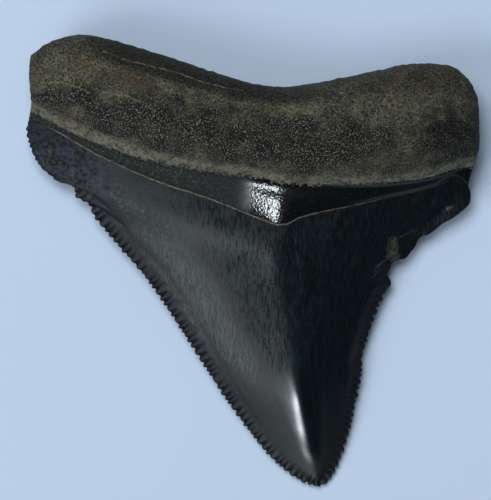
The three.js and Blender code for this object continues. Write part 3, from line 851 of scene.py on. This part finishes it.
def tooth_roughness(s, where, marks, grit, scuffs):
    """Matte root, a band that is dull on the left and glossy in its middle, and a crown whose worn
    skin is smoother in streaks, with mottles on the left flank and a polished ridge."""
    level, across = marks["level"], marks["across"]
    plain = s.fade(across, 0.50, 0.58, LEFT_BAND_ROUGH, RIGHT_BAND_ROUGH)
    band = s.blend(marks["glossy"], plain, s.fade(grit, 0.4, 0.6, 0.08, 0.2))
    rough = s.blend(marks["on_band"], ROOT_ROUGH, band)
    stretched = s.vector("MULTIPLY", {0: where, 1: (3.0, 0.5, 1.0)})
    skin = s.fade(s.noise(stretched, 1.6, 5.0, 0.75), 0.36, 0.64, 0.16, 0.42)
    flank = s.times(s.fade(level, 3.12, 3.34, 1.0, 0.0), s.fade(across, 0.24, 0.46, 1.0, 0.0))
    skin = s.blend(flank, skin, s.fade(s.noise(where, 2.4, 5.0, 0.8), 0.36, 0.62, 0.26, 0.58))
    skin = s.blend(s.fade(level, 3.58, 3.8), skin, NEAR_TIP_ROUGH)
    rough = s.blend(marks["on_crown"], rough, s.blend(marks["skin"], POLISHED, skin))
    ground = s.times(marks["bevel"], marks["on_crown"])
    rough = s.blend(ground, rough, s.fade(marks["notch"], 0.1, 0.5, 0.5, 0.85))
    pits = s.times(s.fade(s.noise(where, 5.0, 3.0, 0.7), 0.6, 0.68), marks["on_crown"], marks["skin"])
    rough = s.blend(pits, rough, PIT_ROUGH)
    rough = s.blend(s.math("MAXIMUM", marks["line"], marks["broken"]), rough, BARE_ROUGH)
    scuffed = s.fade(scuffs, 0.42, 0.6, 0.5, 0.9)
    return s.blend(s.math("MAXIMUM", marks["scars"], marks["worn"]), rough, scuffed)


def tooth_relief(s, where, marks, grit, scuffs):
    """Relief too fine for the mesh: pores and dust of the root, sparkle and scuffs of the band, the
    grain of the crown's skin, and rough scars. Each lies on top of the one before."""
    pores = s.times(s.fade(grit, 0.42, 0.60), s.math("ADD", s.times(marks["soot"], 0.8), 0.25))
    dust = s.noise(where, 12.0, 2.0, 0.6)
    sparkle = s.noise(where, 3.4, 1.0, 0.6)
    dusty = s.fade(marks["across"], 0.42, 0.5, 1.0, 0.0)
    grain = s.noise(where, 3.6, 3.0, 0.75)
    loose = s.math("MAXIMUM", marks["scars"], marks["broken"])
    loose = s.math("MAXIMUM", loose, s.times(marks["worn"], 0.15))
    normal = None
    for depth, *shares in (
        (PORE_DEPTH, pores, marks["on_root"]),
        (DUST_DEPTH, dust, marks["on_root"]),
        (SPARKLE_DEPTH, sparkle, marks["band_only"], marks["glossy"]),
        (BAND_SCUFF_DEPTH, scuffs, marks["band_only"], dusty),
        (SKIN_DEPTH, grain, marks["on_crown"], marks["skin"]),
        (SCAR_DEPTH, scuffs, loose),
    ):
        normal = s.bump(s.times(*shares), depth * MM, normal)
    return normal


def fossil_material(colours, middle):
    """The whole tooth in one material: colour, roughness and relief change from root to band to
    crown."""
    s = Shading("fossil_tooth")
    names = (
        "level", "across", "from_neck", "from_enamel", "bevel", "notch", "soot", "dark_lobe", "rust",
        "cream", "teal", "broken", "scars", "worn", "lingual",
    )
    marks = {name: s.mark(name) for name in names}
    where = s.place()
    thin_lines(s, where, marks, middle)
    zones(s, where, marks)
    grit = s.noise(where, 8.0, 1.0, 0.5)
    scuffs = s.noise(where, 2.2, 5.0, 0.7)
    links = s.tree.links
    links.new(tooth_colour(s, where, marks, colours), s.shader.inputs["Base Color"])
    links.new(tooth_roughness(s, where, marks, grit, scuffs), s.shader.inputs["Roughness"])
    links.new(tooth_relief(s, where, marks, grit, scuffs), s.shader.inputs["Normal"])
    s.shader.inputs["Specular IOR Level"].default_value = SPECULAR_LEVEL
    return s.material


class OBJECT_OT_fossil_tooth(bpy.types.Operator):
    """Build the tooth as one closed surface, in place of the plain solid"""

    bl_idname = "object.fossil_tooth"
    bl_label = "Fossil Tooth"

    def execute(self, context):
        settings = context.scene
        guides = Guides(settings.fossil_tooth_sizes)
        points, faces, marks = closed_tooth(guides)
        points, middle = set_on_table(points)
        mesh = new_mesh("fossil_tooth", points, faces, marks)
        mesh.materials.append(fossil_material(settings.fossil_tooth_colours, middle))
        tooth = bpy.data.objects.new("fossil_tooth", mesh)
        context.collection.objects.link(tooth)
        tooth["guide_middle"] = [float(middle[0]), float(middle[1])]
        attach(tooth, "root")
        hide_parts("tooth")
        return {"FINISHED"}


# The studio, in metres
FLOOR_SIZE = 6.0
FLOOR_ROUGH, FLOOR_SPECULAR_LEVEL = 0.75, 0.2
WORLD_COLOUR, WORLD_STRENGTH = (0.72, 0.84, 1.0, 1.0), 0.13
CAMERA_HEIGHT = 0.60
SENSOR = 0.036
VIEW_HEIGHT_MM = 56.25  # guide millimetres across the picture's long side
VIEW_MIDDLE = (-0.918, 1.232)  # guide millimetres at the picture's middle
LIGHT_COLOUR = (0.87, 0.95, 1.0)
# Each light: direction it comes from, distance, width, height, watts, and whether matte surfaces
# catch it
LIGHTS = {
    "overhead": ((-0.22, 0.48, 1.0), 0.80, 0.45, 0.45, 3.5, True),
    "window": ((-1.16, -0.75, 1.0), 0.80, 0.48, 0.40, 2.7, True),
    "ceiling": ((-0.08, -0.36, 1.0), 0.80, 0.50, 0.46, 0.09, True),
    "panel": ((-0.22, -0.77, 1.0), 0.70, 0.075, 0.16, 2.5, False),
}


def floor_material(colours):
    """Matte pale blue with hardly visible clouds."""
    s = Shading("pale_table")
    where = s.place()
    clouds = s.noise(where, 0.03, 2.0)
    colour = s.mix(clouds, shaded(colours.table, 0.97), shaded(colours.table, 1.02))
    s.tree.links.new(colour, s.shader.inputs["Base Color"])
    s.shader.inputs["Roughness"].default_value = FLOOR_ROUGH
    s.shader.inputs["Specular IOR Level"].default_value = FLOOR_SPECULAR_LEVEL
    return s.material


def add_floor(context, colours):
    """A flat square under the tooth."""
    half = FLOOR_SIZE / 2
    z = LOW[2]
    mesh = bpy.data.meshes.new("table")
    corners = [(-half, -half, z), (half, -half, z), (half, half, z), (-half, half, z)]
    mesh.from_pydata(corners, [], [(0, 1, 2, 3)])
    mesh.materials.append(floor_material(colours))
    table = bpy.data.objects.new("table", mesh)
    context.collection.objects.link(table)


def add_light(context, name, direction, distance, width, height, watts, matte):
    """A rectangular light aimed at the middle of the tooth. One that matte surfaces don't catch shows
    in reflections only."""
    data = bpy.data.lights.new(name, "AREA")
    data.shape = "RECTANGLE"
    data.size, data.size_y, data.energy = width, height, watts
    data.color = LIGHT_COLOUR
    light = bpy.data.objects.new(name, data)
    away = Vector(direction).normalized()
    light.location = away * distance
    light.rotation_euler = away.to_track_quat("Z", "Y").to_euler()
    light.visible_diffuse = matte
    context.collection.objects.link(light)


def add_camera(context, middle):
    """A long lens straight above, with the root at the top of the picture."""
    data = bpy.data.cameras.new("above")
    data.lens = 1000 * SENSOR * CAMERA_HEIGHT / (VIEW_HEIGHT_MM * MM)
    data.sensor_width = 1000 * SENSOR
    camera = bpy.data.objects.new("above", data)
    x, y = ((VIEW_MIDDLE[k] - middle[k]) * MM + (LOW[k] + HIGH[k]) / 2 for k in range(2))
    camera.location = (x, y, CAMERA_HEIGHT)
    context.collection.objects.link(camera)
    context.scene.camera = camera


class OBJECT_OT_fossil_tooth_stage(bpy.types.Operator):
    """Set up the pale table, the lights and the camera above the tooth"""

    bl_idname = "object.fossil_tooth_stage"
    bl_label = "Fossil Tooth Stage"

    def execute(self, context):
        scene = context.scene
        add_floor(context, scene.fossil_tooth_colours)
        for name, values in LIGHTS.items():
            add_light(context, name, *values)
        add_camera(context, bpy.data.objects["fossil_tooth"]["guide_middle"])
        world = scene.world or bpy.data.worlds.new("studio")
        scene.world = world
        world.use_nodes = True
        background = world.node_tree.nodes["Background"]
        background.inputs["Color"].default_value = WORLD_COLOUR
        background.inputs["Strength"].default_value = WORLD_STRENGTH
        scene.view_settings.view_transform = "Standard"
        return {"FINISHED"}


class VIEW3D_PT_fossil_tooth(bpy.types.Panel):
    """Lists what the add-on builds and the values it reads"""

    bl_idname = "VIEW3D_PT_fossil_tooth"
    bl_label = "Fossil Tooth"
    bl_space_type = "VIEW_3D"
    bl_region_type = "UI"
    bl_category = "Fossil Tooth"

    def draw(self, context):
        layout = self.layout
        for settings in (context.scene.fossil_tooth_sizes, context.scene.fossil_tooth_colours):
            for name in type(settings).__annotations__:
                layout.prop(settings, name)
        layout.operator(OBJECT_OT_fossil_tooth.bl_idname)
        layout.operator(OBJECT_OT_fossil_tooth_stage.bl_idname)


CLASSES = (
    FossilToothSizes, FossilToothColours, OBJECT_OT_fossil_tooth, OBJECT_OT_fossil_tooth_stage,
    VIEW3D_PT_fossil_tooth,
)


def register():
    """Registers the classes and gives the scene both groups of values."""
    for item in CLASSES:
        bpy.utils.register_class(item)
    bpy.types.Scene.fossil_tooth_sizes = PointerProperty(type=FossilToothSizes)
    bpy.types.Scene.fossil_tooth_colours = PointerProperty(type=FossilToothColours)


def unregister():
    """Takes back what register did."""
    del bpy.types.Scene.fossil_tooth_sizes
    del bpy.types.Scene.fossil_tooth_colours
    for item in reversed(CLASSES):
        bpy.utils.unregister_class(item)


def main():
    """Builds the tooth and its stage, and keeps both boxes."""
    register()
    bpy.ops.object.fossil_tooth()
    bpy.ops.object.fossil_tooth_stage()


if __name__ == "__main__":
    main()
